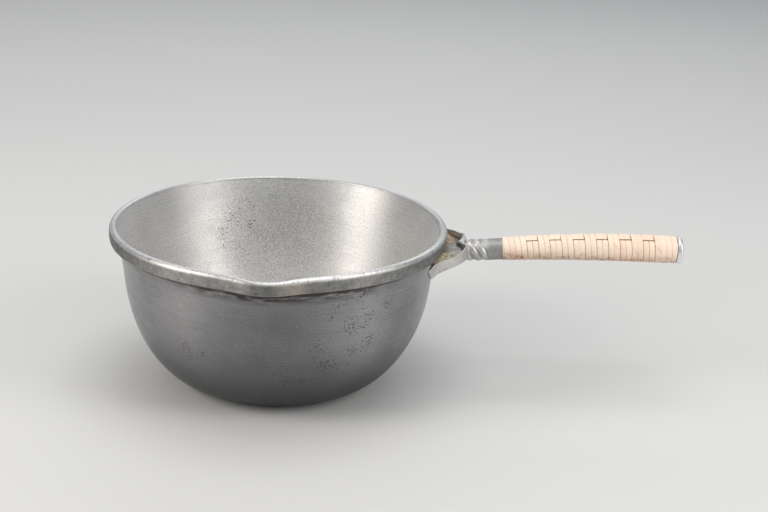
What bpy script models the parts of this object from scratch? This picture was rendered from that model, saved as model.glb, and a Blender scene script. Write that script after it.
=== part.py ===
"""Cast aluminium pouring pan with a cane-bound handle, as the separate pieces it is made of.

Metres, +Z up. The origin is the centre of the flat base, +X runs along the handle, and the lip is at -Y.
The yoke is brazed under the rim band. A tang rod runs from its neck through a wooden core to the end cap.
Cane is bound round the core, woven with a flat runner along its top that lies over two turns and under two.
"""

from math import ceil, cos, pi, radians, sin

import bmesh
import bpy
from mathutils import Vector

# Bowl
HEIGHT = 0.0908
RIM_RADIUS = 0.0940
RIM_CREST_RADIUS = 0.0911
MOUTH_RADIUS = 0.0898
WALL = 0.0026
BASE_RADIUS = 0.0440
BELLY_RADIUS = 0.0864
BELLY_HEIGHT = 0.0700
BELLY_ROUNDNESS = 0.54
FLARE = 0.0034
FLARE_START = 0.0600
BAND_HEIGHT = 0.0082
BAND_BOTTOM = HEIGHT - BAND_HEIGHT

# Pouring lip, centred on -Y
LIP_REACH = 0.0060
LIP_DROP = 0.0008
LIP_HALF_ANGLE = radians(8.5)
LIP_DEPTH = 0.0260

# Handle centreline: a shallow arch in the XZ plane, highest at ARCH_X
ARCH_X = 0.2050
ARCH_Z = HEIGHT - 0.0074
ARCH_DROP = 0.0054
ARCH_SPAN = 0.0990

# Yoke: two arms that follow the rim band from below, a floor between them, and a twisted neck with a socket
YOKE_TOP = HEIGHT - 0.0089
YOKE_BOTTOM = HEIGHT - 0.0156
YOKE_TURN = radians(1.6)
TIP_DROP = 0.0016
TIP_DROP_START = radians(22)
SHOULDER_RISE = 0.0019
SHOULDER_START = radians(12)
CUSP_DIP = 0.0013
CUSP_DIP_START = radians(4)
BOTTOM_RISE = 0.0013
BOTTOM_RISE_SPAN = radians(20)
FLOOR_TOP = HEIGHT - 0.0130
ARM_THICKNESS = 0.0028
ARM_RADIUS = 0.0958
ARM_INNER_RADIUS = 0.0927
ARM_END = radians(27.3)
ARM_FLARE = 0.0109
ARM_FLARE_START = radians(25.0)
ARM_FLARE_END = radians(6.0)
FLOOR_HALF_ANGLE = radians(20.5)
RECESS_HALF_ANGLE = radians(23.0)
FLOOR_INNER_RADIUS = 0.0893
CUSP_RADIUS = 0.0984
NECK_START = 0.0982
NECK_FULL = 0.1045
TWIST_END = 0.1175
NECK_RADIUS = 0.0060
NECK_TIP_SHARE = 0.45
TWIST_DEPTH = 0.0008
TWIST_STRANDS = 3
TWIST_LEAD = 0.0145
TWIST_FADE = 0.0015
SOCKET_RADIUS = 0.0060
SOCKET_BORE = 0.0048
SOCKET_FLOOR = 0.1190
SOCKET_MOUTH = 0.1253

# Tang rod, grip core, cane and end cap
CLEARANCE = 0.0003
ROD_RADIUS = 0.0020
ROD_START = 0.1080
ROD_END = 0.2235
CORE_SPIGOT_START = SOCKET_FLOOR + CLEARANCE
CORE_START = SOCKET_MOUTH + CLEARANCE
CORE_END = 0.2218
GRIP_START_RADIUS = 0.0064
GRIP_FULL_RADIUS = 0.00788
GRIP_FULL_X = 0.2090
GRIP_END_WAIST = 0.0003
CANE_THICKNESS = 0.0009
RUNNER_THICKNESS = 0.0005
RUNNER_CENTRE = radians(90)
RUNNER_HALF_ANGLE = radians(35)
RUNNER_MARGIN = 0.0010
GROOVE_MARGIN = radians(8)
WINDOW_MARGIN = radians(3)
CANE_TURN = 0.003215
WINDOW_COUNT = 6
WINDOW_START = 0.1390
WINDOW_PITCH_TURNS = 4
WINDOW_TURNS = 2
CAP_START = CORE_END + CLEARANCE
CAP_END = 0.2262
CAP_RADIUS = 0.0075
CAP_DOME = 0.0018
CAP_ROUNDING = 0.0030
CAP_SPIGOT_RADIUS = 0.0042
CAP_SPIGOT_LENGTH = 0.0040

# Braze left in the two corners between the floor, the arms and the bowl
BRAZE_START = radians(5.0)
BRAZE_END = radians(20.0)
BRAZE_TOE_RADIUS = 0.0995
BRAZE_TOE_THICKNESS = 0.0005
BRAZE_HEAD_WIDTH = 0.0032

WALL_STEPS = 11
BOWL_STEP = radians(5)
LIP_STEP = radians(1.5)
LIP_FINE_ANGLE = radians(15)
ROUND_SIDES = 28
ROD_SIDES = 12
GRIP_SIDES = 32
CORE_SIDES = 36


def clear_scene():
    for old in list(bpy.data.objects):
        bpy.data.objects.remove(old)


def material(name, colour, metallic, roughness):
    made = bpy.data.materials.new(name)
    made.use_nodes = True
    shader = made.node_tree.nodes["Principled BSDF"]
    shader.inputs["Base Color"].default_value = (*colour, 1.0)
    shader.inputs["Metallic"].default_value = metallic
    shader.inputs["Roughness"].default_value = roughness
    return made


def add_object(name, bm, finish=None):
    bmesh.ops.recalc_face_normals(bm, faces=bm.faces)
    mesh = bpy.data.meshes.new(name)
    bm.to_mesh(mesh)
    bm.free()
    mesh.shade_smooth()
    mesh.set_sharp_from_angle(angle=radians(35))
    made = bpy.data.objects.new(name, mesh)
    bpy.context.scene.collection.objects.link(made)
    if finish:
        mesh.materials.append(finish)
    return made


def skin(rings, loop=False):
    """A closed mesh through rings of equally many points, capped at the ends or joined by loop."""
    bm = bmesh.new()
    made = [[bm.verts.new(point) for point in ring] for ring in rings]
    pairs = list(zip(made, made[1:]))
    if loop:
        pairs.append((made[-1], made[0]))
    for low, high in pairs:
        for i in range(len(low)):
            j = (i + 1) % len(low)
            bm.faces.new((low[i], low[j], high[j], high[i]))
    if not loop:
        bm.faces.new(made[0])
        bm.faces.new(made[-1])
    return bm


def prism(outline, bottom, top):
    """The XY outline extruded from the height bottom to the height top."""
    return skin([[(x, y, z) for x, y in outline] for z in (bottom, top)])


def boolean(target, operation, tool):
    """Joins or cuts with a helper object, which is left out of the build."""
    tool.hide_render = True
    tool.display_type = "WIRE"
    modifier = target.modifiers.new(operation.title(), "BOOLEAN")
    modifier.operation = operation
    modifier.solver = "EXACT"
    modifier.object = tool


def smoothstep(t):
    t = max(0.0, min(1.0, t))
    return t * t * (3 - 2 * t)


def polar(radius, angle):
    return radius * cos(angle), radius * sin(angle)


# ---- bowl ----


def wall_radius(z):
    """Outer radius of the wall: a rounded belly that flares again under the rim band."""
    rise = min(z / BELLY_HEIGHT, 1.0)
    belly = BASE_RADIUS + (BELLY_RADIUS - BASE_RADIUS) * (1 - (1 - rise) ** 2) ** BELLY_ROUNDNESS
    flare = max(0.0, (z - FLARE_START) / (BAND_BOTTOM - FLARE_START))
    return belly + FLARE * flare**2


def wall_point(z, inset):
    """A point on the wall's profile, moved inwards square to it."""
    step = 0.0004
    low, high = max(z - step, 0.0), z + step
    slope = Vector((wall_radius(high) - wall_radius(low), high - low)).normalized()
    return wall_radius(z) - slope.y * inset, z + slope.x * inset


def bowl_profile():
    """Half section of the bowl as (radius, height), from the foot round the rim and back down inside."""
    heights = [BAND_BOTTOM * (i / WALL_STEPS) ** 1.7 for i in range(WALL_STEPS + 1)]
    outside = [(wall_radius(z), z) for z in heights]
    band = [
        (RIM_RADIUS - 0.0006, BAND_BOTTOM),
        (RIM_RADIUS, BAND_BOTTOM + 0.0008),
        (RIM_RADIUS, HEIGHT - 0.0030),
        (RIM_RADIUS - 0.0008, HEIGHT - 0.0012),
        (RIM_CREST_RADIUS, HEIGHT),
        (MOUTH_RADIUS, HEIGHT - 0.0014),
    ]
    inside = [wall_point(z, WALL) for z in reversed(heights)]
    return outside + band + inside


def lip_shift(radius, angle, z):
    """Outward and downward shift that draws the pouring lip out of the rim at -Y."""
    away = abs((angle + pi / 2 + pi) % (2 * pi) - pi)
    across = 1 / (1 + (away / LIP_HALF_ANGLE) ** 3.2)
    down = smoothstep(1 - (HEIGHT - z) / LIP_DEPTH)
    return radius + LIP_REACH * across * down, z - LIP_DROP * across * down


def bowl_angles():
    """Angles round the bowl, closer together at the lip."""
    coarse = 2 * pi - 2 * LIP_FINE_ANGLE
    fine_count = ceil(2 * LIP_FINE_ANGLE / LIP_STEP)
    coarse_count = ceil(coarse / BOWL_STEP)
    start = -pi / 2 - LIP_FINE_ANGLE
    fine = [start + 2 * LIP_FINE_ANGLE * i / fine_count for i in range(fine_count)]
    rest = [-pi / 2 + LIP_FINE_ANGLE + coarse * i / coarse_count for i in range(coarse_count)]
    return fine + rest


def make_bowl(finish):
    angles = bowl_angles()
    rings = []
    for radius, z in bowl_profile():
        ring = []
        for angle in angles:
            shifted, height = lip_shift(radius, angle, z)
            ring.append((*polar(shifted, angle), height))
        rings.append(ring)
    return add_object("bowl", skin(rings), finish)


# ---- handle centreline ----


def centre(x):
    return Vector((x, 0, ARCH_Z - ARCH_DROP * ((ARCH_X - x) / ARCH_SPAN) ** 2))


def handle_point(x, radius, angle):
    """A point round the centreline. The angle turns about +X from +Y, so the top is at 90 degrees."""
    tangent = (centre(x + 0.0005) - centre(x - 0.0005)).normalized()
    up = Vector((0, -1, 0)).cross(tangent)
    return centre(x) + Vector((0, cos(angle), 0)) * radius + up * (sin(angle) * radius)


def handle_ring(x, radius, sides=ROUND_SIDES):
    """A ring square to the centreline. radius is a length, or a function of the angle that gives one."""
    angles = [2 * pi * i / sides for i in range(sides)]
    return [handle_point(x, radius(a) if callable(radius) else radius, a) for a in angles]


def between(start, end, count):
    return [start + (end - start) * i / count for i in range(count + 1)]


# ---- yoke ----


def arm_outer(angle):
    rise = (ARM_FLARE_START - abs(angle - YOKE_TURN)) / (ARM_FLARE_START - ARM_FLARE_END)
    return ARM_RADIUS + ARM_FLARE * smoothstep(rise)


def arm_heights(angle):
    """Bottom and top of the casting: low at the tips, tallest at the shoulders, with a dip between them."""
    away = abs(angle)
    tip = smoothstep((away - TIP_DROP_START) / (ARM_END - TIP_DROP_START))
    shoulder = smoothstep((SHOULDER_START - away) / (SHOULDER_START - ARM_FLARE_END))
    dip = smoothstep((CUSP_DIP_START - away) / CUSP_DIP_START)
    bottom = YOKE_BOTTOM + BOTTOM_RISE * smoothstep((ARM_END - away) / BOTTOM_RISE_SPAN)
    return bottom, YOKE_TOP - TIP_DROP * tip + SHOULDER_RISE * shoulder - CUSP_DIP * dip


def recess_outer(angle):
    """Edge of the hollow between the arms, with a cusp where the neck runs into the floor."""
    shoulder = arm_outer(angle) - ARM_THICKNESS
    away = abs(angle - YOKE_TURN)
    if away >= ARM_FLARE_END:
        return shoulder
    return CUSP_RADIUS + (shoulder - CUSP_RADIUS) * (away / ARM_FLARE_END) ** 0.4


def twist_radius(x):
    """Radius round the neck: right-handed strands that grow out of the floor and fade at the socket."""
    growth = smoothstep((x - NECK_START) / (NECK_FULL - NECK_START))
    depth = TWIST_DEPTH * growth * smoothstep((TWIST_END - x) / TWIST_FADE)
    plain = NECK_RADIUS * (NECK_TIP_SHARE + (1 - NECK_TIP_SHARE) * growth)

    def radius(angle):
        strand = abs(cos(TWIST_STRANDS / 2 * (angle - 2 * pi * x / TWIST_LEAD)))
        return plain - depth * (1 - strand)

    return radius


def make_yoke(finish):
    sections = []
    for angle in between(-ARM_END, ARM_END, 36):
        bottom, top = arm_heights(angle)
        inner = FLOOR_INNER_RADIUS if abs(angle) < FLOOR_HALF_ANGLE else ARM_INNER_RADIUS
        corners = [(arm_outer(angle), bottom), (arm_outer(angle), top), (inner, top), (inner, bottom)]
        sections.append([(*polar(radius, angle), z) for radius, z in corners])
    yoke = add_object("handle_yoke", skin(sections), finish)

    neck = [handle_ring(x, twist_radius(x)) for x in between(NECK_START, TWIST_END, 18)]
    bore = [
        (SOCKET_MOUTH, SOCKET_RADIUS),
        (SOCKET_MOUTH, SOCKET_BORE),
        (SOCKET_FLOOR, SOCKET_BORE),
        (SOCKET_FLOOR, ROD_RADIUS + CLEARANCE),
        (ROD_START - CLEARANCE, ROD_RADIUS + CLEARANCE),
    ]
    neck += [handle_ring(x, radius) for x, radius in bore]
    boolean(yoke, "UNION", add_object("neck_helper", skin(neck)))

    recess_angles = between(-RECESS_HALF_ANGLE, RECESS_HALF_ANGLE, 40)
    recess = [polar(recess_outer(a), a) for a in recess_angles]
    recess += [polar(FLOOR_INNER_RADIUS - 0.001, a) for a in reversed(recess_angles)]
    boolean(yoke, "DIFFERENCE", add_object("recess_helper", prism(recess, FLOOR_TOP, HEIGHT)))
    return yoke


def make_braze(name, side, finish):
    """Filler metal in one corner of the hollow, on the floor and against the bowl. side is -1 or 1."""
    heel = wall_radius(BAND_BOTTOM) + CLEARANCE
    foot_z = FLOOR_TOP + CLEARANCE
    head_z = BAND_BOTTOM - CLEARANCE
    rings = []
    for angle in between(side * BRAZE_START, side * BRAZE_END, 6):
        toe = min(recess_outer(angle) - BRAZE_TOE_THICKNESS, BRAZE_TOE_RADIUS)
        section = [
            (heel, foot_z),
            (toe, foot_z),
            (toe, foot_z + BRAZE_TOE_THICKNESS),
            (heel + BRAZE_HEAD_WIDTH, head_z),
            (heel, head_z),
        ]
        rings.append([(*polar(radius, angle), z) for radius, z in section])
    return add_object(name, skin(rings), finish)


# ---- grip ----


def grip_radius(x):
    """Outside of the cane: slim at the socket, fullest just before the end cap."""
    swell = sin(pi / 2 * min(1.0, (x - CORE_START) / (GRIP_FULL_X - CORE_START)))
    waist = max(0.0, (x - GRIP_FULL_X) / (CORE_END - GRIP_FULL_X))
    return GRIP_START_RADIUS + (GRIP_FULL_RADIUS - GRIP_START_RADIUS) * swell - GRIP_END_WAIST * waist**2


def windows():
    """Start and end along X of each place where the runner lies on top of the turns."""
    for i in range(WINDOW_COUNT):
        start = WINDOW_START + CANE_TURN * WINDOW_PITCH_TURNS * i
        yield start, start + CANE_TURN * WINDOW_TURNS


def core_radius(x):
    return grip_radius(x) - CANE_THICKNESS - CLEARANCE


def runner_groove(x):
    """Radius round the core, with a flat groove that takes the runner."""

    def radius(angle):
        away = abs((angle - RUNNER_CENTRE + pi) % (2 * pi) - pi)
        in_groove = away < RUNNER_HALF_ANGLE + GROOVE_MARGIN
        return core_radius(x) - (RUNNER_THICKNESS + CLEARANCE if in_groove else 0.0)

    return radius


def make_tang_rod(finish):
    rings = [handle_ring(x, ROD_RADIUS, ROD_SIDES) for x in between(ROD_START, ROD_END, 8)]
    return add_object("tang_rod", skin(rings), finish)


def make_grip_core(finish):
    """Wooden core on the rod: a spigot in the socket, a groove for the runner and a seat for the cap."""
    seat = CORE_END - CAP_SPIGOT_LENGTH
    rod_hole = ROD_RADIUS + CLEARANCE
    sections = [(CORE_SPIGOT_START, SOCKET_BORE - CLEARANCE), (CORE_START, SOCKET_BORE - CLEARANCE)]
    sections += [(x, runner_groove(x)) for x in between(CORE_START, CORE_END, 8)]
    cap_hole = CAP_SPIGOT_RADIUS + CLEARANCE
    sections += [(CORE_END, cap_hole), (seat - CLEARANCE, cap_hole)]
    sections += [(x, rod_hole) for x in between(seat - CLEARANCE, CORE_SPIGOT_START, 6)]
    rings = [handle_ring(x, radius, CORE_SIDES) for x, radius in sections]
    return add_object("grip_core", skin(rings, loop=True), finish)


def strip_ring(x, inner, outer, half_angle=RUNNER_HALF_ANGLE):
    """Section of the flat runner: an arc band between two radii."""
    angles = between(RUNNER_CENTRE - half_angle, RUNNER_CENTRE + half_angle, 6)
    low = [handle_point(x, inner, a) for a in angles]
    return low + [handle_point(x, outer, a) for a in reversed(angles)]


def make_cane_runner(finish):
    """One flat strip along the core, thin under the turns and up to their surface in each window."""
    stations = [(CORE_START + RUNNER_MARGIN, False)]
    for start, end in windows():
        stations += [(start + CLEARANCE, False), (start + CLEARANCE, True)]
        stations += [(end - CLEARANCE, True), (end - CLEARANCE, False)]
    stations.append((CORE_END - RUNNER_MARGIN, False))
    rings = []
    for x, exposed in stations:
        outer = grip_radius(x) if exposed else core_radius(x)
        rings.append(strip_ring(x, core_radius(x) - RUNNER_THICKNESS, outer))
    return add_object("cane_runner", skin(rings), finish)


def make_cane_binding(finish):
    """The wound cane as one sleeve, with a window wherever the runner lies on top."""
    stations = between(CORE_START, CORE_END, 8)
    rings = [handle_ring(x, grip_radius(x), GRIP_SIDES) for x in stations]
    rings += [handle_ring(x, grip_radius(x) - CANE_THICKNESS, GRIP_SIDES) for x in reversed(stations)]
    binding = add_object("cane_binding", skin(rings, loop=True), finish)
    for i, (start, end) in enumerate(windows()):
        inner, outer = core_radius(start), grip_radius(end) + CANE_THICKNESS
        half_angle = RUNNER_HALF_ANGLE + WINDOW_MARGIN
        cutter = skin([strip_ring(x, inner, outer, half_angle) for x in (start, end)])
        boolean(binding, "DIFFERENCE", add_object(f"window_{i}_helper", cutter))
    return binding


def make_end_cap(finish):
    """Domed cap on the rod's end, with a spigot that seats in the core."""
    spigot_start = CAP_START - CAP_SPIGOT_LENGTH
    rod_hole = ROD_RADIUS + CLEARANCE
    dome_start = CAP_END - CAP_DOME
    sections = [
        (ROD_END + CLEARANCE, rod_hole),
        (spigot_start, rod_hole),
        (spigot_start, CAP_SPIGOT_RADIUS),
        (CAP_START, CAP_SPIGOT_RADIUS),
        (CAP_START, CAP_RADIUS),
    ]
    for turn in between(0, radians(75), 5):
        rounding = CAP_ROUNDING * (1 - cos(turn))
        sections.append((dome_start + CAP_DOME * sin(turn), CAP_RADIUS - rounding))
    rings = [handle_ring(x, radius) for x, radius in sections]
    return add_object("end_cap", skin(rings), finish)


def main():
    clear_scene()
    cast_metal = material("cast_aluminium", (0.60, 0.60, 0.59), 1.0, 0.42)
    braze = material("braze", (0.45, 0.34, 0.18), 0.3, 0.8)
    steel = material("steel", (0.45, 0.45, 0.46), 1.0, 0.4)
    wood = material("beech", (0.50, 0.34, 0.20), 0.0, 0.7)
    cane = material("cane", (0.80, 0.62, 0.44), 0.0, 0.6)
    runner = material("cane_runner", (0.76, 0.57, 0.40), 0.0, 0.6)
    make_bowl(cast_metal)
    make_yoke(cast_metal)
    make_braze("braze_front", -1, braze)
    make_braze("braze_rear", 1, braze)
    make_tang_rod(steel)
    make_grip_core(wood)
    make_cane_runner(runner)
    make_cane_binding(cane)
    make_end_cap(cast_metal)


main()
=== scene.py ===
"""Looks of the pouring pan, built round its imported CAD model.

Metres, with +Z up, the handle along +X and the lip at -Y.
"""

from math import cos, floor, pi, radians, sin

import bmesh
import bpy
from mathutils import Matrix, Vector, noise


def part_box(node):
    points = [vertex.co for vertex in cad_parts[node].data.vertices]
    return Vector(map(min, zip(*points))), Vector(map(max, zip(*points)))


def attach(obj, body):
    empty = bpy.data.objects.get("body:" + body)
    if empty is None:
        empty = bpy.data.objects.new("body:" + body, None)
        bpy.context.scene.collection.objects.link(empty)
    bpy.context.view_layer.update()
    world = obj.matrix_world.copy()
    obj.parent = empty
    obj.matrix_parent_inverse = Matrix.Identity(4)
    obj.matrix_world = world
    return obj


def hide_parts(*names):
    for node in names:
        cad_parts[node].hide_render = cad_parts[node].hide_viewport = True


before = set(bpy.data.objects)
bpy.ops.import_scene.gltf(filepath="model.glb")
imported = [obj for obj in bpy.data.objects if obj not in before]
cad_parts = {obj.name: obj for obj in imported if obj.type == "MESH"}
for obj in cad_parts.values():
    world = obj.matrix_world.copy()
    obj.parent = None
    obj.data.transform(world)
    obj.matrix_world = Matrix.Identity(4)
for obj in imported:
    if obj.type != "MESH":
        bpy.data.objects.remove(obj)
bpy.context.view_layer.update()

BODY = "root"

# Camera
CAMERA_PLACE = (0.0590, -0.7972, 0.3480)
CAMERA_DOWN = radians(19.05)
CAMERA_ROLL = radians(2.28)
CAMERA_LENS = 70.3
CAMERA_SENSOR = 36.0

# Bowl
_, BOWL_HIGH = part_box("bowl")
HEIGHT = BOWL_HIGH[2]
RIM_RADIUS = BOWL_HIGH[1]
BASE_RADIUS = 0.0440
BELLY_RADIUS = 0.0864
BELLY_HEIGHT = 0.0700
BELLY_ROUNDNESS = 0.54
FLARE = 0.0034
FLARE_START = 0.0600
WALL = 0.0024
BAND_BOTTOM = HEIGHT - 0.0082
CREST_RADIUS = RIM_RADIUS - 0.0029
MOUTH_RADIUS = RIM_RADIUS - 0.0042
LIP_REACH = 0.0058
LIP_DROP = 0.0008
LIP_HALF_ANGLE = radians(8.5)
LIP_DEPTH = 0.0260
BOWL_SIDES = 480
WALL_ROWS = 74
DISC_ROWS = 10
DENT = 0.00022
BAND_DENT = 0.00009
BAND_WAVE = 0.00012

# Handle centreline: a shallow arch in the XZ plane
ARCH_X = 0.2050
ARCH_Z = HEIGHT - 0.0074
ARCH_DROP = 0.0054
ARCH_SPAN = 0.0990

# Yoke
_, YOKE_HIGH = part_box("handle_yoke")
SOCKET_MOUTH = YOKE_HIGH[0]
YOKE_BOTTOM = HEIGHT - 0.0156
YOKE_TOP = HEIGHT - 0.0089
YOKE_TURN = radians(1.6)
ROOT_SHIFT = 0.0016
POCKET_FLOOR = HEIGHT - 0.0130
POCKET_INNER = 0.0897
POCKET_THICKNESS = 0.0011
POCKET_RISE = 0.0020
POCKET_HALF_ANGLE = radians(21.5)
ARM_RADIUS = 0.0958
ARM_FLARE = 0.0109
ARM_FLARE_START = radians(25.0)
ARM_FLARE_END = radians(6.0)
ARM_END = radians(27.2)
ARM_WIDTH = 0.0029
ARM_BACK_LEAN = 0.0008
ARM_TIP_LEAN = radians(0.7)
TIP_START = radians(22)
SHOULDER_END, SHOULDER_BLEND = radians(12), radians(6)
DIP_END = radians(4)
POCKET_RISE_END = radians(9)
TIP_DROP = 0.0016
BOTTOM_RISE = 0.0013
SHOULDER_RISE = 0.0019
CUSP_DIP = 0.0013
REAR_DROP = 0.0008
CUSP_RADIUS = 0.0984
NECK_START = 0.0994
NECK_FULL = 0.1060
TWIST_END = 0.1175
NECK_RADIUS = 0.0061
NECK_TIP_SHARE = 0.20
SOCKET_RADIUS = 0.0060
TWIST_DEPTH = 0.0010
TWIST_STRANDS = 3
TWIST_LEAD = 0.0145
CAST_VOXEL = 0.00035

# Brazed crusts
CRUST_START = radians(3.0)
CRUST_END = radians(19.6)
CRUST_REACH = 0.1006
CRUST_LOW, CRUST_HIGH = 0.0006, 0.0044

# Grip
BINDING_LOW, BINDING_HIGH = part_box("cane_binding")
_, CAP_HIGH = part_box("end_cap")
GRIP_START = BINDING_LOW[0]
GRIP_END = BINDING_HIGH[0]
GRIP_START_RADIUS = 0.0064
GRIP_FULL_RADIUS = 0.00768
GRIP_FULL_X = 0.2090
GRIP_END_WAIST = 0.0003
CANE_TURN = 0.003215
CANE_THICKNESS = 0.0009
CANE_TURN_LENGTH = 0.046
JOINT_HALF_GAP = 0.00003
EDGE_ROUND, EDGE_ROUND_AT_JOINT = 0.00008, 0.00016
FIRST_UNDER = 4
UNDER_COUNT = 6
UNDER_DROP = 0.00062
RUNNER_HALF_ANGLE = radians(35)
RUNNER_THICKNESS = 0.0005
RUNNER_PROUD = 0.00016
RUNNER_END_GAP = 0.0015
CAP_RADIUS = 0.0075
CAP_DOME = 0.0019
CAP_ROUNDING = 0.0026
CAP_LEAN = 0.0007

# Surfaces
BAND_INNER = 0.0892
SOCKET_START, SOCKET_FULL = 0.1150, 0.1185
RELIEF = 0.0002
SCRATCH_STRETCH = 45.0
SCRATCH_TURNS = ((0.3, 1.4, 0.2), (1.3, 0.4, 0.9), (0.8, 1.0, 2.1))

# Studio
FLOOR_HALF_SIZE = 12.0
LIGHTS_AIM = (0.03, 0.0, 0.06)
SKY_COLOUR = (0.80, 0.82, 0.86, 1.0)
SKY_STRENGTH = 0.36
# name, place, width and height, watts, colour
SOFTBOXES = (
    ("softbox_left", (-1.0, -0.45, 0.62), (0.5, 0.8), 6.2, (1.0, 0.95, 0.88)),
    ("softbox_right", (1.0, -0.45, 0.62), (0.5, 0.8), 4.3, (1.0, 0.98, 0.95)),
    ("softbox_back", (0.05, 1.2, 0.90), (1.4, 0.5), 2.0, (0.97, 0.98, 1.0)),
    ("softbox_top", (0.1, 0.0, 1.3), (1.0, 0.7), 4.0, (1.0, 0.99, 0.97)),
)


def smoothstep(t):
    t = max(0.0, min(1.0, t))
    return t * t * (3 - 2 * t)


def mix(a, b, t):
    return a + (b - a) * t


def steps(start, end, count):
    """The ends of a range and the points between them, count steps in all."""
    return [start + (end - start) * i / count for i in range(count + 1)]


def polar(radius, angle, z):
    return Vector((radius * cos(angle), radius * sin(angle), z))


def rough(point, scale, octaves=3):
    """Smooth noise in -1..1 with the given feature size in metres."""
    return noise.fractal(Vector(point) / scale, 1.0, 2.0, octaves)


# ---------------------------------------------------------------- meshes


def add_mesh(name, points, faces, smooth_angle=40):
    mesh = bpy.data.meshes.new(name)
    mesh.from_pydata([tuple(p) for p in points], [], faces)
    mesh.validate()
    mesh.shade_smooth()
    mesh.set_sharp_from_angle(angle=radians(smooth_angle))
    made = bpy.data.objects.new(name, mesh)
    bpy.context.scene.collection.objects.link(made)
    return made


def skin(name, rings, loop=False, smooth_angle=40):
    """A mesh through rings of equally many points, capped at both ends unless it loops."""
    width = len(rings[0])
    points = [p for ring in rings for p in ring]
    faces = []
    count = len(rings) if loop else len(rings) - 1
    for row in range(count):
        low = row * width
        high = (row + 1) % len(rings) * width
        for i in range(width):
            j = (i + 1) % width
            faces.append((low + i, low + j, high + j, high + i))
    if not loop:
        faces.append(tuple(range(width - 1, -1, -1)))
        faces.append(tuple(range(len(points) - width, len(points))))
    return add_mesh(name, points, faces, smooth_angle)


def evaluated(piece):
    """The piece's mesh with its modifiers applied."""
    graph = bpy.context.evaluated_depsgraph_get()
    mesh = bpy.data.meshes.new_from_object(piece.evaluated_get(graph))
    piece.modifiers.clear()
    piece.data = mesh
    return mesh


def outward(piece):
    """Turns the faces of a closed piece outwards."""
    shape = bmesh.new()
    shape.from_mesh(piece.data)
    bmesh.ops.recalc_face_normals(shape, faces=shape.faces)
    shape.to_mesh(piece.data)
    shape.free()


def fuse(name, pieces, voxel, smoothing):
    """One cast body out of overlapping closed pieces."""
    for piece in pieces:
        outward(piece)
    chosen = {"selected_editable_objects": pieces, "selected_objects": pieces}
    with bpy.context.temp_override(active_object=pieces[0], **chosen):
        bpy.ops.object.join()
    whole = pieces[0]
    whole.name = name
    remesh = whole.modifiers.new("Remesh", "REMESH")
    remesh.mode = "VOXEL"
    remesh.voxel_size = voxel
    remesh.use_smooth_shade = True
    smooth = whole.modifiers.new("Smooth", "SMOOTH")
    smooth.factor = 0.5
    smooth.iterations = smoothing
    evaluated(whole)
    whole.data.shade_smooth()
    return whole


def finish_piece(piece, nodes, look):
    piece.data.materials.clear()
    piece.data.materials.append(look)
    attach(piece, BODY)
    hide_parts(*nodes)
    return piece


# ---------------------------------------------------------------- materials


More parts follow.
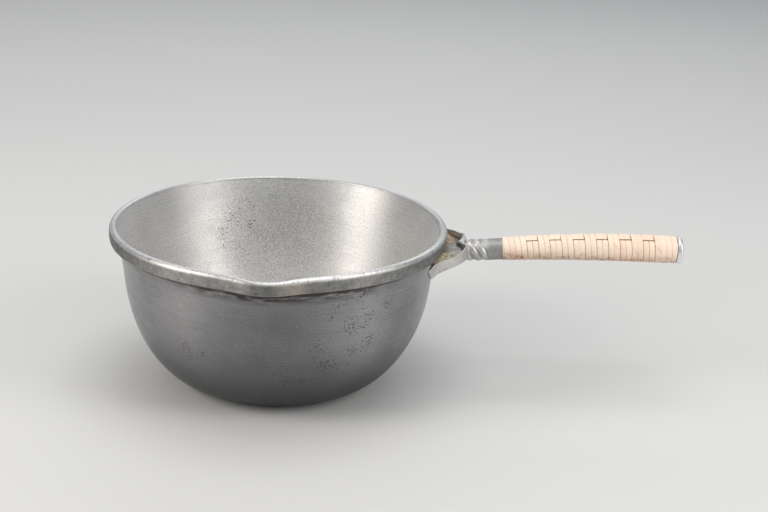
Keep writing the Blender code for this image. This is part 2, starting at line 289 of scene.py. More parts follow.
class Look:
    """A node material with short calls for the nodes used here. Values are sockets or numbers."""

    def __init__(self, name, metallic, roughness=0.5):
        self.material = bpy.data.materials.new(name)
        self.material.use_nodes = True
        self.tree = self.material.node_tree
        self.shader = self.tree.nodes["Principled BSDF"]
        self.shader.inputs["Metallic"].default_value = metallic
        self.shader.inputs["Roughness"].default_value = roughness
        self.place = self.node("ShaderNodeTexCoord").outputs["Object"]
        self.colour = None

    def node(self, kind, inputs=None, **settings):
        made = self.tree.nodes.new(kind)
        for key, value in settings.items():
            setattr(made, key, value)
        for key, value in (inputs or {}).items():
            self.feed(made.inputs[key], value)
        return made

    def feed(self, socket, value):
        if isinstance(value, bpy.types.NodeSocket):
            self.tree.links.new(value, socket)
        else:
            socket.default_value = value

    def set(self, name, value):
        self.feed(self.shader.inputs[name], value)

    # numbers

    def math(self, operation, a, b=0.0):
        return self.node("ShaderNodeMath", {0: a, 1: b}, operation=operation).outputs[0]

    def times(self, first, *others):
        for value in others:
            first = self.math("MULTIPLY", first, value)
        return first

    def plus(self, first, *others):
        for value in others:
            first = self.math("ADD", first, value)
        return first

    def minus(self, a, b):
        return self.math("SUBTRACT", a, b)

    def ramp(self, value, low, high, to_low=0.0, to_high=1.0):
        """Maps low..high to to_low..to_high, held at both ends, with a soft start and stop."""
        made = self.node("ShaderNodeMapRange", interpolation_type="SMOOTHSTEP")
        for socket, given in zip(made.inputs, (value, low, high, to_low, to_high)):
            self.feed(socket, given)
        return made.outputs[0]

    # vectors

    def split(self, vector):
        return self.node("ShaderNodeSeparateXYZ", {0: vector}).outputs

    def join(self, x, y, z):
        return self.node("ShaderNodeCombineXYZ", {0: x, 1: y, 2: z}).outputs[0]

    def stretch(self, vector, scale):
        return self.node("ShaderNodeMapping", {"Vector": vector, "Scale": scale}).outputs[0]

    def turned(self, across, along):
        """A vector whose noise makes rings round the Z axis: fine up the wall, long round it."""
        x, y, z = self.split(self.place)
        height = self.times(self.plus(z, self.from_axis()), across)
        return self.join(self.times(self.math("ARCTAN2", y, x), along), height, 0.0)

    # patterns

    def noise(self, scale, detail=4.0, roughness=0.55, vector=None):
        inputs = {
            "Vector": vector or self.place,
            "Scale": scale,
            "Detail": detail,
            "Roughness": roughness,
        }
        return self.node("ShaderNodeTexNoise", inputs).outputs["Fac"]

    def ring_noise(self, across, along, detail, roughness):
        return self.noise(1.0, detail, roughness, self.turned(across, along))

    def scratches(self, scale, threshold):
        """Thin lines in three directions, 1 on a line and 0 between."""
        sizes = (1 / scale, 1 / scale, 1 / SCRATCH_STRETCH)
        found = []
        for turn in SCRATCH_TURNS:
            inputs = {"Vector": self.place, "Rotation": turn, "Scale": sizes}
            place = self.node("ShaderNodeMapping", inputs, vector_type="TEXTURE").outputs[0]
            lines = self.noise(1.0, 1.0, 0.5, place)
            found.append(self.ramp(lines, threshold, threshold + 0.05))
        return self.math("MAXIMUM", self.math("MAXIMUM", found[0], found[1]), found[2])

    # places on the object

    def near(self, point, size):
        """1 near a point in the frame, falling to 0 at the given distance."""
        inputs = {0: self.place, 1: point}
        away = self.node("ShaderNodeVectorMath", inputs, operation="DISTANCE")
        return self.ramp(away.outputs["Value"], size * 0.25, size, 1.0, 0.0)

    def from_axis(self):
        x, y, _ = self.split(self.place)
        return self.math("SQRT", self.plus(self.times(x, x), self.times(y, y)))

    def outside(self, radius):
        """1 further from the Z axis than the radius, and 0 nearer."""
        return self.ramp(self.from_axis(), radius - 0.0001, radius + 0.0001)

    def facing_out(self):
        """How far a face turns away from the Z axis, and the upward part of its normal."""
        normal = self.node("ShaderNodeNewGeometry").outputs["True Normal"]
        nx, ny, nz = self.split(normal)
        x, y, _ = self.split(self.place)
        return self.plus(self.times(nx, x), self.times(ny, y)), nz

    def outside_wall(self):
        """1 on the outside of the bowl's wall and its foot, and 0 on its inside and its band."""
        facing, up = self.facing_out()
        _, _, z = self.split(self.place)
        outer = self.math("MAXIMUM", self.ramp(facing, 0.001, 0.004), self.ramp(up, -0.3, -0.6))
        return self.times(outer, self.ramp(z, BAND_BOTTOM + 0.0006, BAND_BOTTOM))

    def rim_band(self):
        """1 on the rim's band and crest, and 0 on the wall, also where the lip pushes it out."""
        facing, up = self.facing_out()
        _, _, z = self.split(self.place)
        outer = self.math("MAXIMUM", self.ramp(facing, -0.02, 0.01), self.ramp(up, 0.55, 0.75))
        height = self.ramp(z, BAND_BOTTOM, BAND_BOTTOM + 0.0006)
        return self.times(height, self.outside(BAND_INNER), outer)

    # colour and relief

    def blend(self, factor, a, b):
        made = self.node("ShaderNodeMix", data_type="RGBA")
        self.feed(made.inputs["Factor"], factor)
        sockets = [s for s in made.inputs if s.type == "RGBA"]
        for socket, colour in zip(sockets, (a, b)):
            self.feed(socket, (*colour, 1.0) if isinstance(colour, tuple) else colour)
        return [s for s in made.outputs if s.type == "RGBA"][0]

    def paint(self, amount, colour):
        """Lays a colour over the present one, by an amount from 0 to 1."""
        self.colour = self.blend(amount, self.colour, colour)

    def bump(self, height, strength, distance):
        inputs = {"Height": height, "Strength": strength, "Distance": distance}
        return self.node("ShaderNodeBump", inputs).outputs[0]


# ---------------------------------------------------------------- bowl


def wall_radius(z):
    rise = min(z / BELLY_HEIGHT, 1.0)
    belly = BASE_RADIUS + (BELLY_RADIUS - BASE_RADIUS) * (1 - (1 - rise) ** 2) ** BELLY_ROUNDNESS
    flare = max(0.0, (z - FLARE_START) / (BAND_BOTTOM - FLARE_START))
    return belly + FLARE * flare**2


def inside_point(z):
    """The inner surface: the outer one moved in square to the wall."""
    step = 0.0003
    low, high = max(z - step, 0.0), z + step
    slope = Vector((wall_radius(high) - wall_radius(low), high - low)).normalized()
    return wall_radius(z) - slope.y * WALL, z + slope.x * WALL


def band_profile():
    """The rim: from the crevice under it, over its face and crest, to the groove at the mouth."""
    points = [
        (wall_radius(BAND_BOTTOM) - 0.0003, BAND_BOTTOM + 0.0003),
        (RIM_RADIUS - 0.0018, BAND_BOTTOM + 0.00015),
    ]
    roll = 0.0010
    face, low = RIM_RADIUS - 0.00015 - roll, BAND_BOTTOM + roll
    for turn in steps(-pi / 2, 0, 6):
        points.append((face + roll * cos(turn), low + roll * sin(turn)))
    points.append((RIM_RADIUS - 0.00002, BAND_BOTTOM + 0.0026))
    reach, rise, top = RIM_RADIUS - CREST_RADIUS, 0.0032, HEIGHT - 0.0002
    for turn in steps(0, pi / 2, 12):
        point = CREST_RADIUS + reach * cos(turn) ** 0.9, top - rise + rise * sin(turn) ** 0.9
        points.append(point)
    reach, drop = CREST_RADIUS - MOUTH_RADIUS, 0.0011
    for turn in steps(0, pi / 2, 7)[1:]:
        points.append((CREST_RADIUS - reach * sin(turn), top - drop + drop * cos(turn)))
    points.append((MOUTH_RADIUS + 0.00005, HEIGHT - 0.0017))
    points.append((MOUTH_RADIUS - 0.0002, HEIGHT - 0.0021))
    return points


def wall_heights(top):
    """Heights up the wall, closest together at the foot, where it curves most."""
    return [top * share**1.7 for share in steps(0, 1, WALL_ROWS)]


def bowl_profile():
    foot = [(BASE_RADIUS * i / DISC_ROWS, 0.0) for i in range(1, DISC_ROWS)]
    outside = [(wall_radius(z), z) for z in wall_heights(BAND_BOTTOM)]
    inside = [inside_point(z) for z in reversed(wall_heights(HEIGHT - 0.0028))]
    disc_radius, disc_z = inside[-1]
    disc = [(disc_radius * i / DISC_ROWS, disc_z) for i in range(DISC_ROWS - 1, 0, -1)]
    return foot + outside + band_profile() + inside + disc


def lip_shift(radius, angle, z):
    """A point of the round bowl moved out, and a little down, where the lip is."""
    away = abs((angle + pi / 2 + pi) % (2 * pi) - pi)
    across = 1 / (1 + (away / LIP_HALF_ANGLE) ** 3.2)
    down = smoothstep(1 - (HEIGHT - z) / LIP_DEPTH)
    return radius + LIP_REACH * across * down, z - LIP_DROP * across * down


def make_bowl(look):
    rings = []
    for radius, z in bowl_profile():
        in_band = z > BAND_BOTTOM and radius > MOUTH_RADIUS
        share = smoothstep(z / 0.010)
        ring = []
        for i in range(BOWL_SIDES):
            angle = -pi / 2 + 2 * pi * i / BOWL_SIDES
            wide, height = lip_shift(radius, angle, z)
            point = polar(wide, angle, height)
            dent = DENT * rough(point, 0.045, 2) * share
            if in_band:
                dent += BAND_DENT * rough(point, 0.006, 2)
            point.x += dent * cos(angle)
            point.y += dent * sin(angle)
            if in_band:
                point.z += BAND_WAVE * rough(point, 0.030, 2)
            ring.append(point)
        rings.append(ring)
    bowl = skin("bowl_shell", rings, smooth_angle=50)
    return finish_piece(bowl, ["bowl"], look)


# ---------------------------------------------------------------- handle metal


def centre(x):
    """The handle's centreline, with its root a little to the rear."""
    side = ROOT_SHIFT * smoothstep((TWIST_END - x) / 0.0150)
    return Vector((x, side, ARCH_Z - ARCH_DROP * ((ARCH_X - x) / ARCH_SPAN) ** 2))


def handle_point(x, radius, angle):
    """A point round the centreline. The angle turns about +X from +Y: the top is at 90 degrees."""
    tangent = centre(x + 0.0005) - centre(x - 0.0005)
    up = Vector((0, -1, 0)).cross(tangent).normalized()
    return centre(x) + Vector((0, cos(angle), 0)) * radius + up * (sin(angle) * radius)


def handle_ring(x, radius, sides):
    angles = [2 * pi * i / sides for i in range(sides)]
    return [handle_point(x, radius(a) if callable(radius) else radius, a) for a in angles]


def arm_outer(angle):
    rise = (ARM_FLARE_START - abs(angle - YOKE_TURN)) / (ARM_FLARE_START - ARM_FLARE_END)
    return ARM_RADIUS + ARM_FLARE * smoothstep(rise)


def arm_heights(angle):
    """Bottom and top of the casting: low at the tips, tall at the shoulders, a dip between them."""
    away = abs(angle)
    tip = smoothstep((away - TIP_START) / (ARM_END - TIP_START))
    shoulder = smoothstep((SHOULDER_END - away) / SHOULDER_BLEND)
    dip = smoothstep((DIP_END - away) / DIP_END)
    bottom = YOKE_BOTTOM + BOTTOM_RISE * smoothstep((ARM_END - away) / radians(20))
    rear = REAR_DROP * smoothstep((angle - SHOULDER_END) / SHOULDER_BLEND)
    return bottom, YOKE_TOP - TIP_DROP * tip + SHOULDER_RISE * shoulder - CUSP_DIP * dip - rear


def pocket_edge(angle):
    """Inner edge of the raised metal, with a cusp where the neck runs into the floor."""
    shoulder = arm_outer(angle) - ARM_WIDTH
    away = abs(angle - YOKE_TURN)
    if away >= ARM_FLARE_END:
        return shoulder
    return CUSP_RADIUS + (shoulder - CUSP_RADIUS) * (away / ARM_FLARE_END) ** 0.45


def arm_section(angle):
    """Upright section of the arms, with a round back and, at the tips, a cut end that leans."""
    outer, inner = arm_outer(angle), pocket_edge(angle)
    bottom, top = arm_heights(angle)
    near_tip = smoothstep((abs(angle) - radians(21)) / radians(6))
    sides = 32
    ring = []
    for i in range(sides):
        turn = 2 * pi * i / sides
        across = abs(cos(turn)) ** 0.7 * (1 if cos(turn) > 0 else -1)
        up = abs(sin(turn)) ** 0.8 * (1 if sin(turn) > 0 else -1)
        radius = mix(inner, outer, across * 0.5 + 0.5)
        # the back leans in towards the top, so the light catches all of it
        radius -= ARM_BACK_LEAN * (up + 1) * smoothstep(across)
        lean = ARM_TIP_LEAN * up * near_tip * (1 if angle > 0 else -1)
        ring.append(polar(radius, angle + lean, mix(bottom, top, up * 0.5 + 0.5)))
    return ring


def floor_plate():
    """The pocket's floor, which rises to the cusp in the middle."""
    underside = POCKET_FLOOR - POCKET_THICKNESS
    rings = []
    for angle in steps(-POCKET_HALF_ANGLE, POCKET_HALF_ANGLE, 60):
        outer = (arm_outer(angle) + pocket_edge(angle)) / 2
        lift = smoothstep((POCKET_RISE_END - abs(angle - YOKE_TURN)) / POCKET_RISE_END)
        ring = [polar(POCKET_INNER, angle, underside), polar(outer, angle, underside)]
        for run in steps(1, 0, 8):
            radius = mix(POCKET_INNER, outer, run)
            height = POCKET_FLOOR + POCKET_RISE * lift * smoothstep(run)
            ring.append(polar(radius, angle, height))
        rings.append(ring)
    return skin("floor_plate", rings)


def twist_radius(x):
    """The neck's radius at x, as a function of the angle: strands that wind round it."""
    growth = smoothstep((x - NECK_START) / (NECK_FULL - NECK_START))
    depth = TWIST_DEPTH * growth * smoothstep((TWIST_END - x) / 0.0022)
    full = mix(NECK_RADIUS, SOCKET_RADIUS, smoothstep((x - TWIST_END + 0.003) / 0.003))
    plain = full * mix(NECK_TIP_SHARE, 1.0, growth)

    def radius(angle):
        strand = abs(cos(TWIST_STRANDS / 2 * (angle - 2 * pi * x / TWIST_LEAD)))
        return plain - depth * (1 - strand**0.9) ** 1.3

    return radius


def make_yoke(look):
    arms = skin("arms", [arm_section(a) for a in steps(-ARM_END, ARM_END, 140)])
    tip_places = steps(NECK_START, 0.1085, 30)
    tip = skin("neck_tip", [handle_ring(x, twist_radius(x), 120) for x in tip_places])
    yoke = fuse("handle_yoke_casting", [arms, floor_plate(), tip], CAST_VOXEL, 4)
    finish_piece(yoke, ["handle_yoke"], look)

    sides, edge = 160, 0.0003
    rings = [handle_ring(x, twist_radius(x), sides) for x in steps(0.1068, 0.1195, 90)]
    for x in steps(0.1200, SOCKET_MOUTH - edge, 10):
        rings.append(handle_ring(x, SOCKET_RADIUS, sides))
    rings.append(handle_ring(SOCKET_MOUTH, SOCKET_RADIUS - edge, sides))
    neck = skin("handle_neck", rings, smooth_angle=60)
    return finish_piece(neck, ["handle_yoke"], look)


def make_braze(name, node, side, look):
    """A lumpy crust heaped against the bowl and the arm. It thins out raggedly towards the neck."""
    heel = wall_radius(BAND_BOTTOM) - 0.0002
    foot = POCKET_FLOOR - 0.0004
    rings = []
    for angle in steps(side * CRUST_START, side * CRUST_END, 110):
        toe = min(pocket_edge(angle) + 0.0004, CRUST_REACH)
        grown = smoothstep((abs(angle) - CRUST_START) / radians(7))
        ring = [polar(mix(heel, toe, i / 8), angle, foot) for i in range(8)]
        for run in steps(0, 1, 32):
            radius = mix(toe, heel, run)
            heap = mix(CRUST_LOW, CRUST_HIGH, grown**0.8)
            heap *= mix(0.25, 1.0, smoothstep(run * 1.2))
            point = polar(radius, angle, POCKET_FLOOR - 0.0007 + heap)
            point.z += 0.0008 * rough(point, 0.0024, 3) + 0.0004 * rough(point, 0.0007, 2)
            point.z = min(max(point.z, foot + 0.00005), BAND_BOTTOM + 0.0004)
            ring.append(point)
        rings.append(ring)
    crust = skin(name, rings, smooth_angle=180)
    outward(crust)
    return finish_piece(crust, [node], look)


# ---------------------------------------------------------------- grip


def grip_radius(x):
    swell = sin(pi / 2 * min(1.0, (x - GRIP_START) / (GRIP_FULL_X - GRIP_START)))
    waist = max(0.0, (x - GRIP_FULL_X) / (GRIP_END - GRIP_FULL_X))
    growth = (GRIP_FULL_RADIUS - GRIP_START_RADIUS) * swell
    return GRIP_START_RADIUS + growth - GRIP_END_WAIST * waist**2


def turn_edge(turns):
    """Where the joint between two turns lies along X, as the cane winds on."""
    wander = 0.00013 * noise.noise(Vector((turns * 2.1, 3.7, 0.0)))
    wander += 0.00006 * noise.noise(Vector((turns * 7.3, 9.1, 0.0)))
    return GRIP_START + CANE_TURN * turns + wander


def is_under(turn):
    """Two turns pass under the runner, and the next two over it."""
    past = turn - FIRST_UNDER
    return 0 <= past < 4 * UNDER_COUNT and past % 4 < 2


def runner_lift(turns, angle):
    """How far a turn is pressed down under the runner, or lifted by it."""
    away = abs((angle - pi / 2 + pi) % (2 * pi) - pi)
    share = smoothstep((RUNNER_HALF_ANGLE + radians(7) - away) / radians(7))
    return share * (-UNDER_DROP if is_under(round(turns)) else 0.00008)


def make_binding(look):
    """The cane: one strip wound along the grip, with round edges and joints between its turns."""
    per_turn = 96
    total = (GRIP_END - GRIP_START) / CANE_TURN
    first, last = -1.0, total
    rows = int((last - first) * per_turn)
    across = [-1, -0.97, -0.88, -0.7, -0.4, 0, 0.4, 0.7, 0.88, 0.97, 1]
    rings, tags, joints = [], [], []
    for row in range(rows + 1):
        turns = first + (last - first) * row / rows
        angle = pi / 2 + 2 * pi * turns
        left = turn_edge(turns) + JOINT_HALF_GAP
        right = turn_edge(turns + 1) - JOINT_HALF_GAP
        left, right = (min(max(x, GRIP_START), GRIP_END) for x in (left, right))
        if right - left < 0.0002:
            continue
        turn = floor(turns + 0.25)
        proud = 0.00007 * noise.noise(Vector((turns * 0.9, 0.3, 5.0)))
        proud += 0.00010 * noise.noise(Vector((turn * 5.17, 2.0, 7.0)))
        tilt = 0.00009 * noise.noise(Vector((turns * 1.3, 8.0, 1.0)))
        ring = []
        for s in across:
            x = mix(left, right, s * 0.5 + 0.5)
            joint = joint_depth(turns, turn if s < 0 else turn + 1)
            radius = grip_radius(x) + proud + tilt * s + runner_lift(turns, angle)
            radius -= (EDGE_ROUND + EDGE_ROUND_AT_JOINT * joint) * abs(s) ** 6
            ring.append(handle_point(x, radius, angle))
            tags.append((turns * CANE_TURN_LENGTH, s, turn))
            joints.append(joint)
        # back along the underside
        for s in (1, 0, -1):
            x = mix(left, right, s * 0.5 + 0.5)
            radius = grip_radius(x) - CANE_THICKNESS + runner_lift(turns, angle)
            ring.append(handle_point(x, radius, angle))
            tags.append((turns * CANE_TURN_LENGTH, s, turn))
            joints.append(1.0)
        rings.append(ring)
    binding = skin("cane_turns", rings, smooth_angle=50)
    tag_cane(binding, tags, joints)
    outward(binding)
    return finish_piece(binding, ["cane_binding"], look)


def joint_depth(turns, turn):
    """How dark the joint before a turn is: darkest beside the places where the runner is on top."""
    if is_under(turn) != is_under(turn - 1):
        return 1.0
    chance = noise.noise(Vector((turns * 1.7, turn * 3.1, 6.0)))
    low = smoothstep(1 - abs(turns % 1 - 0.5) / 0.16) * smoothstep(0.7 + 2.0 * chance)
    return min(1.0, 0.10 + 0.55 * smoothstep(0.4 + 1.6 * chance) + 0.7 * low)


def tag_cane(piece, tags, joints):
    """Stores each point's place along and across the cane, its turn, and how dark its joint is."""
    layer = piece.data.attributes.new("cane", "FLOAT_VECTOR", "POINT")
    for item, tag in zip(layer.data, tags):
        item.vector = tag
    layer = piece.data.attributes.new("joint", "FLOAT", "POINT")
    for item, depth in zip(layer.data, joints):
        item.value = depth


def runner_height(x):
    """The runner's top: above the turns that it covers, and under the rest."""
    turns = (x - GRIP_START) / CANE_TURN
    out = 0.0
    for i in range(UNDER_COUNT):
        start = FIRST_UNDER + 4 * i
        rise = smoothstep((turns - start + 0.12) / 0.2)
        fall = smoothstep((start + 2 - turns + 0.12) / 0.2)
        out = max(out, rise * fall)
    return mix(-CANE_THICKNESS, RUNNER_PROUD, out)


def make_runner(look):
    """The flat strip along the top of the grip, which comes out over two turns in each four."""
    count = 26
    runner_turn = 90
    rings, tags = [], []
    for x in steps(GRIP_START + RUNNER_END_GAP, GRIP_END - RUNNER_END_GAP, 900):
        top = grip_radius(x) + runner_height(x)
        shift = 0.02 * noise.noise(Vector((x * 90, 4.0, 0)))
        ring = []
        for i in range(count + 1):
            s = i / count * 2 - 1
            angle = pi / 2 - s * RUNNER_HALF_ANGLE
            grain = 0.00002 * noise.noise(Vector((s * 9, x * 60, 0)))
            radius = top + grain - 0.00012 * abs(s) ** 8
            ring.append(handle_point(x, radius, angle + shift))
            tags.append((x, s, runner_turn))
        # back along the underside
        for s in steps(1, -1, 4):
            angle = pi / 2 - s * RUNNER_HALF_ANGLE
            ring.append(handle_point(x, top - RUNNER_THICKNESS, angle))
            tags.append((x, s, runner_turn))
        rings.append(ring)
    runner = skin("cane_runner_strip", rings, smooth_angle=50)
    tag_cane(runner, tags, [0.8] * len(tags))
    outward(runner)
    return finish_piece(runner, ["cane_runner"], look)


def make_end_cap(look):
    start, end, full = GRIP_END + 0.0002, CAP_HIGH[0], CAP_RADIUS
    sections = [(start, full - 0.0006), (start + 0.00015, full - 0.0001), (start + 0.0004, full)]
    sections += [(x, full) for x in steps(start + 0.0007, end - CAP_DOME, 6)]
    for turn in steps(0, pi / 2, 16)[1:]:
        x = end - CAP_DOME + CAP_DOME * sin(turn)
        sections.append((x, full - CAP_ROUNDING * (1 - cos(turn))))
    flat = full - CAP_ROUNDING
    sections += [(end + 0.0001 * (1 - share**2), share * flat) for share in (0.85, 0.6, 0.3, 0.08)]
    rings = []
    for x, radius in sections:
        ring = handle_ring(x, radius, 96)
        lean = (x - start) / (end - start)
        for point in ring:
            height = (point.z - centre(x).z) / full
            point.x -= CAP_LEAN * lean * (height + 0.6)
        rings.append(ring)
    cap = skin("end_cap_shell", rings, smooth_angle=50)
    outward(cap)
    return finish_piece(cap, ["end_cap"], look)


# ---------------------------------------------------------------- looks


def shade(colour, factor):
    return tuple(min(part * factor, 1.0) for part in colour)


def worn_metal(name, bright, dull, patches):
    """Old satin aluminium: grey with faint clouds, light and dark specks, and fine scratches."""
    look = Look(name, 1.0)
    cloud = look.ramp(look.noise(patches, 5.0, 0.6), 0.40, 0.68)
    look.colour = look.blend(look.times(cloud, 0.6), bright, dull)
    grain = look.noise(2100.0, 3.0, 0.7)
    look.paint(look.ramp(grain, 0.50, 0.72, 0.0, 0.45), shade(dull, 0.55))
    look.paint(look.ramp(grain, 0.44, 0.28, 0.0, 0.5), shade(bright, 1.15))
    scratches = look.scratches(2600.0, 0.67)
    look.paint(look.times(scratches, 0.35), shade(dull, 0.6))
    return look, cloud, grain, scratches


def cast_relief(look, grain, scratches, strength):
    height = look.minus(look.times(grain, 0.7), look.times(scratches, 0.4))
    look.set("Normal", look.bump(height, strength, RELIEF))


def bowl_look():
    look, cloud, grain, scratches = worn_metal(
        "bowl_aluminium", (0.92, 0.91, 0.89), (0.81, 0.80, 0.785), 26.0
    )
    _, y, z = look.split(look.place)
    outer = look.outside_wall()
    inner = look.minus(1.0, outer)
    band = look.rim_band()
    outside_tarnish_and_painted_reflection(look, cloud, outer, inner, y, z)
    rings = lathe_marks(look, outer)
    back_mottle(look, inner)
    marks = pits(look, outer, inner)
    under_band_shade_and_streaks(look, outer, z)
    face, blotch = band_stains(look, band, z)
    look.set("Base Color", look.colour)

    crest = look.times(band, look.ramp(z, HEIGHT - 0.0022, HEIGHT - 0.0007))
    gloss = look.ramp(cloud, 0.0, 1.0, 0.55, 0.61)
    gloss = look.minus(gloss, look.times(outer, 0.22))
    gloss = look.minus(gloss, look.times(crest, 0.17))
    look.set("Roughness", look.plus(gloss, look.times(face, 0.10), look.times(marks, 0.2)))
    # turned in a lathe, so the highlights stretch up and down the wall
    look.shader.inputs["Anisotropic"].default_value = 0.75
    look.shader.inputs["Anisotropic Rotation"].default_value = 0.25
    tangent = look.node("ShaderNodeTangent", direction_type="RADIAL", axis="Z")
    look.set("Tangent", tangent.outputs[0])

    height = look.plus(look.times(rings, 0.30), look.times(grain, 0.35))
    height = look.minus(look.minus(height, look.times(scratches, 0.3)), marks)
    height = look.plus(height, look.times(blotch, face, 0.8))
    look.set("Normal", look.bump(height, 0.22, RELIEF))
    return look.material


def outside_tarnish_and_painted_reflection(look, cloud, outer, inner, y, z):
    """The outside is darker than the inside, partly duller metal and partly a painted dark
    reflection, with painted shade at its foot and a painted dark reflection below the lip.
    """
    # the outside's darker grey: partly tarnish, partly a painted dark reflection
    look.paint(
        look.times(outer, 0.85),
        look.blend(cloud, (0.285, 0.285, 0.295), (0.215, 0.215, 0.225)),
    )
    # painted shade, darkest at the foot
    look.paint(look.times(look.ramp(z, 0.052, 0.002), outer, 0.9), (0.036, 0.036, 0.039))
    # painted dark reflection below the lip
    painted_dark_reflection_below_lip = look.near((0.000, -0.0860, 0.042), 0.068)
    look.paint(look.times(painted_dark_reflection_below_lip, outer, 0.50), (0.10, 0.10, 0.106))
    # the inside is duller towards the mouth, at the back
    mouth = look.times(look.ramp(z, HEIGHT - 0.034, HEIGHT - 0.004), inner, 0.30)
    look.paint(look.times(mouth, look.ramp(y, 0.020, 0.060)), (0.46, 0.46, 0.45))


def lathe_marks(look, outer):
    """Fine rings round the wall, with short coarse flecks along them."""
    rings = look.ring_noise(2600.0, 2.2, 4.0, 0.75)
    depth = look.ramp(outer, 0.0, 1.0, 0.22, 0.48)
    look.paint(look.ramp(rings, 0.44, 0.68, 0.0, depth), (0.13, 0.13, 0.135))
    coarse = look.ring_noise(1150.0, 90.0, 3.0, 0.7)
    look.paint(look.ramp(coarse, 0.50, 0.70, 0.0, 0.55), (0.12, 0.12, 0.125))
    look.paint(look.ramp(coarse, 0.40, 0.28, 0.0, 0.40), (0.80, 0.80, 0.80))
    return rings


def back_mottle(look, inner):
    """A duller, speckled patch on the inside, at the back."""
    back = look.times(look.near((-0.010, 0.080, 0.060), 0.060), inner)
    mottle = look.noise(1100.0, 4.0, 0.75)
    look.paint(look.times(back, look.ramp(mottle, 0.46, 0.60), 0.6), (0.40, 0.39, 0.38))
    look.paint(look.times(back, look.ramp(mottle, 0.44, 0.34), 0.7), (0.95, 0.94, 0.92))


def pits(look, outer, inner):
    """Pits gather in a few places: mostly at the right of the lip, and one inside, at the back."""
    places = (
        ((0.038, -0.070, 0.050), 0.034),
        ((0.050, -0.066, 0.068), 0.030),
        ((0.014, -0.072, 0.036), 0.024),
        ((-0.036, -0.068, 0.044), 0.020),
    )
    clusters = look.times(look.plus(*[look.near(*place) for place in places]), outer)
    within = look.times(look.near((-0.030, 0.078, 0.062), 0.030), inner)
    clusters = look.math("MINIMUM", look.plus(clusters, within), 1.0)
    clusters = look.times(clusters, look.ramp(look.noise(95.0, 3.0, 0.6), 0.36, 0.60))
    flecks = look.ring_noise(900.0, 62.0, 3.0, 0.6)
    flecks = look.minus(flecks, look.minus(0.700, look.times(clusters, 0.170)))
    blots = look.ring_noise(330.0, 26.0, 4.0, 0.65)
    blots = look.minus(blots, look.minus(0.74, look.times(clusters, 0.12)))
    marks = look.ramp(flecks, 0.0, 0.06)
    marks = look.math("MAXIMUM", marks, look.ramp(blots, 0.0, 0.09, 0.0, 0.8))
    look.paint(look.times(marks, 0.80), (0.06, 0.056, 0.052))
    return marks


def under_band_shade_and_streaks(look, outer, z):
    """A painted shade line close under the band's overhang, and a streaky darkening below it,
    strongest at the front.
    """
    under = look.minus(BAND_BOTTOM, z)
    streaks = look.ring_noise(260.0, 9.0, 5.0, 0.65)
    # a streaky darkening close under the band, strongest at the front
    streaked_darkening = look.times(
        look.ramp(under, 0.0095, 0.0010),
        look.ramp(under, -0.0002, 0.0002),
        look.ramp(streaks, 0.32, 0.60),
        outer,
    )
    front = look.near((0.010, -0.0920, 0.078), 0.070)
    amount = look.times(streaked_darkening, look.plus(front, 0.24), 1.25)
    look.paint(look.math("MINIMUM", amount, 0.92), (0.045, 0.04, 0.037))
    # painted shade: a dark line where the band overhangs the wall
    line = look.times(look.ramp(under, 0.0034, 0.0022), look.ramp(under, -0.0004, -0.0001), outer)
    look.paint(look.times(line, 0.80), (0.07, 0.06, 0.055))


def band_stains(look, band, z):
    """The band's face is matt and blotched, with yellowish stains, the palest beside the lip."""
    blotch = look.noise(260.0, 6.0, 0.75)
    grey = look.blend(look.ramp(blotch, 0.36, 0.64), (0.27, 0.27, 0.265), (0.130, 0.130, 0.122))
    yellow = look.ramp(look.noise(110.0, 4.0, 0.6), 0.55, 0.70, 0.0, 0.45)
    specks = look.ramp(look.noise(800.0, 4.0, 0.7), 0.54, 0.68, 0.0, 0.75)
    patch = look.times(look.near((0.014, -0.0980, 0.086), 0.013), look.ramp(blotch, 0.40, 0.58))
    stained = look.blend(yellow, grey, (0.42, 0.37, 0.27))
    stained = look.blend(specks, stained, (0.12, 0.11, 0.10))
    stained = look.blend(look.times(patch, 0.7), stained, (0.56, 0.47, 0.34))
    face = look.times(band, look.ramp(z, HEIGHT - 0.0007, HEIGHT - 0.0028))
    look.paint(look.times(face, 0.85), stained)
    return face, blotch


def yoke_look():
    look, cloud, grain, scratches = worn_metal(
        "yoke_aluminium", (0.66, 0.65, 0.635), (0.48, 0.48, 0.47), 150.0
    )
    x, _, z = look.split(look.place)
    mottle = look.noise(640.0, 4.0, 0.7)
    look.paint(look.ramp(mottle, 0.52, 0.68, 0.0, 0.45), (0.34, 0.34, 0.33))
    # the socket is duller, and dirt has settled in the pocket
    look.paint(look.ramp(x, SOCKET_START, SOCKET_FULL, 0.0, 0.62), (0.26, 0.26, 0.26))
    facing, up = look.facing_out()
    inner = look.math("MAXIMUM", look.ramp(up, 0.3, 0.6), look.ramp(facing, 0.0, -0.02))
    low = look.ramp(z, HEIGHT - 0.0102, HEIGHT - 0.0122)
    pocket = look.times(low, look.ramp(x, 0.1035, 0.1005), inner)
    soiled = look.ramp(look.noise(420.0, 5.0, 0.65), 0.36, 0.60, 0.35, 0.85)
    look.paint(look.times(pocket, soiled), (0.30, 0.28, 0.22))
    look.set("Base Color", look.colour)
    matt = look.ramp(x, SOCKET_START, SOCKET_FULL, 0.0, 0.10)
    look.set("Roughness", look.plus(look.ramp(cloud, 0.0, 1.0, 0.44, 0.56), matt))
    cast_relief(look, grain, scratches, 0.35)
    return look.material


def cap_look():
    look, cloud, grain, scratches = worn_metal(
        "cap_aluminium", (0.92, 0.92, 0.92), (0.78, 0.78, 0.77), 180.0
    )
    look.set("Base Color", look.colour)
    look.set("Roughness", look.ramp(cloud, 0.0, 1.0, 0.30, 0.42))
    cast_relief(look, grain, scratches, 0.30)
    return look.material


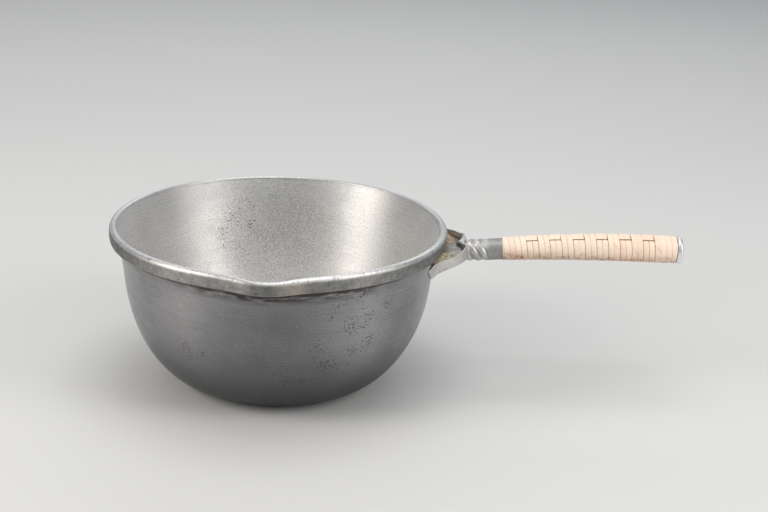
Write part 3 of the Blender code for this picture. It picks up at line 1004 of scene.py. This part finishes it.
def braze_look(name, main, dark, pale):
    look = Look(name, 0.0, 0.8)
    lumps = look.noise(520.0, 6.0, 0.7)
    look.colour = look.blend(look.ramp(lumps, 0.36, 0.56), dark, main)
    look.paint(look.ramp(look.noise(700.0, 4.0, 0.7), 0.46, 0.66), pale)
    # towards the neck it thins to bare grey metal
    x, _, _ = look.split(look.place)
    bare = look.times(
        look.ramp(x, 0.0945, 0.1000), look.ramp(look.noise(600.0, 3.0), 0.36, 0.56)
    )
    look.paint(bare, (0.50, 0.50, 0.46))
    look.set("Base Color", look.colour)
    look.set("Metallic", look.times(bare, 0.7))
    look.set("Normal", look.bump(lumps, 0.8, 2 * RELIEF))
    return look.material


def cane_look(name, tint, edge_start):
    """Pale cane: fibres along the strip, dark joints, and a lower side that is darker, evenly and
    with blotches of dirt.
    """
    look = Look(name, 0.0, 0.5)
    tag = look.node("ShaderNodeAttribute", attribute_name="cane").outputs["Vector"]
    along, across, turn = look.split(tag)
    place = look.join(look.times(along, 60.0), look.times(across, 7.0), turn)
    fibres = look.noise(1.0, 4.0, 0.6, place)
    strip = look.noise(1.0, 0.0, 0.5, look.join(turn, 2.0, look.times(along, 6.0)))
    cream = tuple(a * b for a, b in zip((1.0, 0.825, 0.67), tint))
    peach = tuple(a * b for a, b in zip((0.99, 0.73, 0.57), tint))
    look.colour = look.blend(look.ramp(strip, 0.40, 0.70), cream, peach)
    look.paint(look.ramp(fibres, 0.50, 0.78, 0.0, 0.30), (0.72, 0.46, 0.30))
    depth = look.node("ShaderNodeAttribute", attribute_name="joint").outputs["Fac"]
    edge = look.ramp(look.math("ABSOLUTE", across), edge_start, 1.0)
    look.paint(look.times(edge, depth), (0.14, 0.065, 0.03))
    _, _, z = look.split(look.place)
    # darker towards the lower side, evenly, before the blotchy dirt
    low = look.ramp(z, HEIGHT - 0.0080, HEIGHT - 0.0145)
    look.paint(look.times(low, 0.45), (0.46, 0.27, 0.16))
    grime = look.times(low, look.ramp(look.noise(300.0, 4.0, 0.65), 0.44, 0.66))
    look.paint(look.times(grime, 0.60), (0.50, 0.20, 0.07))
    spots = look.ramp(look.noise(480.0, 4.0, 0.7), 0.54, 0.64)
    burnt = look.times(spots, look.ramp(look.noise(110.0), 0.44, 0.58))
    look.paint(look.times(burnt, look.ramp(low, 0.0, 0.7, 0.20, 0.9)), (0.20, 0.07, 0.03))
    look.set("Base Color", look.colour)
    look.set("Roughness", look.ramp(fibres, 0.3, 0.7, 0.42, 0.58))
    look.set("Normal", look.bump(fibres, 0.35, 0.00012))
    return look.material


def wood_look():
    look = Look("core_beech", 0.0, 0.65)
    grain = look.noise(1.0, 4.0, 0.6, look.stretch(look.place, (30.0, 600.0, 600.0)))
    look.set("Base Color", look.blend(grain, (0.42, 0.27, 0.16), (0.62, 0.43, 0.27)))
    look.set("Normal", look.bump(grain, 0.3, RELIEF))
    return look.material


def steel_look():
    look = Look("rod_steel", 1.0, 0.4)
    lines = look.noise(1.0, 3.0, 0.6, look.stretch(look.place, (40.0, 1500.0, 1500.0)))
    look.set("Base Color", look.blend(lines, (0.38, 0.38, 0.39), (0.55, 0.55, 0.56)))
    look.set("Roughness", look.ramp(lines, 0.3, 0.7, 0.30, 0.48))
    return look.material


def floor_look():
    look = Look("studio_floor", 0.0, 0.7)
    cloud = look.noise(3.0, 3.0)
    look.set("Base Color", look.blend(cloud, (0.70, 0.70, 0.69), (0.73, 0.73, 0.72)))
    return look.material


# ---------------------------------------------------------------- studio


def add_camera():
    data = bpy.data.cameras.new("camera")
    data.lens = CAMERA_LENS
    data.sensor_width = CAMERA_SENSOR
    camera = bpy.data.objects.new("camera", data)
    tilt = Matrix.Rotation(pi / 2 - CAMERA_DOWN, 4, "X") @ Matrix.Rotation(CAMERA_ROLL, 4, "Z")
    camera.matrix_world = Matrix.Translation(CAMERA_PLACE) @ tilt
    bpy.context.scene.collection.objects.link(camera)
    bpy.context.scene.camera = camera
    bpy.context.scene.view_settings.view_transform = "Standard"
    bpy.context.scene.view_settings.exposure = 0.35


def add_softbox(name, place, size, power, colour):
    data = bpy.data.lights.new(name, "AREA")
    data.shape = "RECTANGLE"
    data.size, data.size_y = size
    data.energy = power
    data.color = colour
    light = bpy.data.objects.new(name, data)
    aim = (Vector(LIGHTS_AIM) - Vector(place)).to_track_quat("-Z", "Y")
    light.matrix_world = Matrix.Translation(place) @ aim.to_matrix().to_4x4()
    bpy.context.scene.collection.objects.link(light)


def add_studio():
    size = FLOOR_HALF_SIZE
    corners = [(-size, -size, 0), (size, -size, 0), (size, size, 0), (-size, size, 0)]
    floor = add_mesh("floor", corners, [(0, 1, 2, 3)])
    floor.data.materials.append(floor_look())
    world = bpy.data.worlds.new("studio")
    bpy.context.scene.world = world
    world.use_nodes = True
    sky = world.node_tree.nodes["Background"].inputs
    sky["Color"].default_value = SKY_COLOUR
    sky["Strength"].default_value = SKY_STRENGTH
    for softbox in SOFTBOXES:
        add_softbox(*softbox)


def main():
    add_camera()
    add_studio()
    yoke_metal = yoke_look()
    make_bowl(bowl_look())
    make_yoke(yoke_metal)
    olive = braze_look("braze_olive", (0.50, 0.43, 0.25), (0.16, 0.11, 0.06), (0.72, 0.67, 0.54))
    tan = braze_look("braze_tan", (0.56, 0.38, 0.21), (0.20, 0.10, 0.05), (0.74, 0.66, 0.54))
    make_braze("braze_front_crust", "braze_front", -1, olive)
    make_braze("braze_rear_crust", "braze_rear", 1, tan)
    make_binding(cane_look("cane_turns", (1.0, 1.0, 1.0), 0.88))
    make_runner(cane_look("cane_runner", (1.0, 0.98, 0.95), 0.95))
    make_end_cap(cap_look())
    for name, look in (("grip_core", wood_look()), ("tang_rod", steel_look())):
        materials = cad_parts[name].data.materials
        materials.clear()
        materials.append(look)


main()
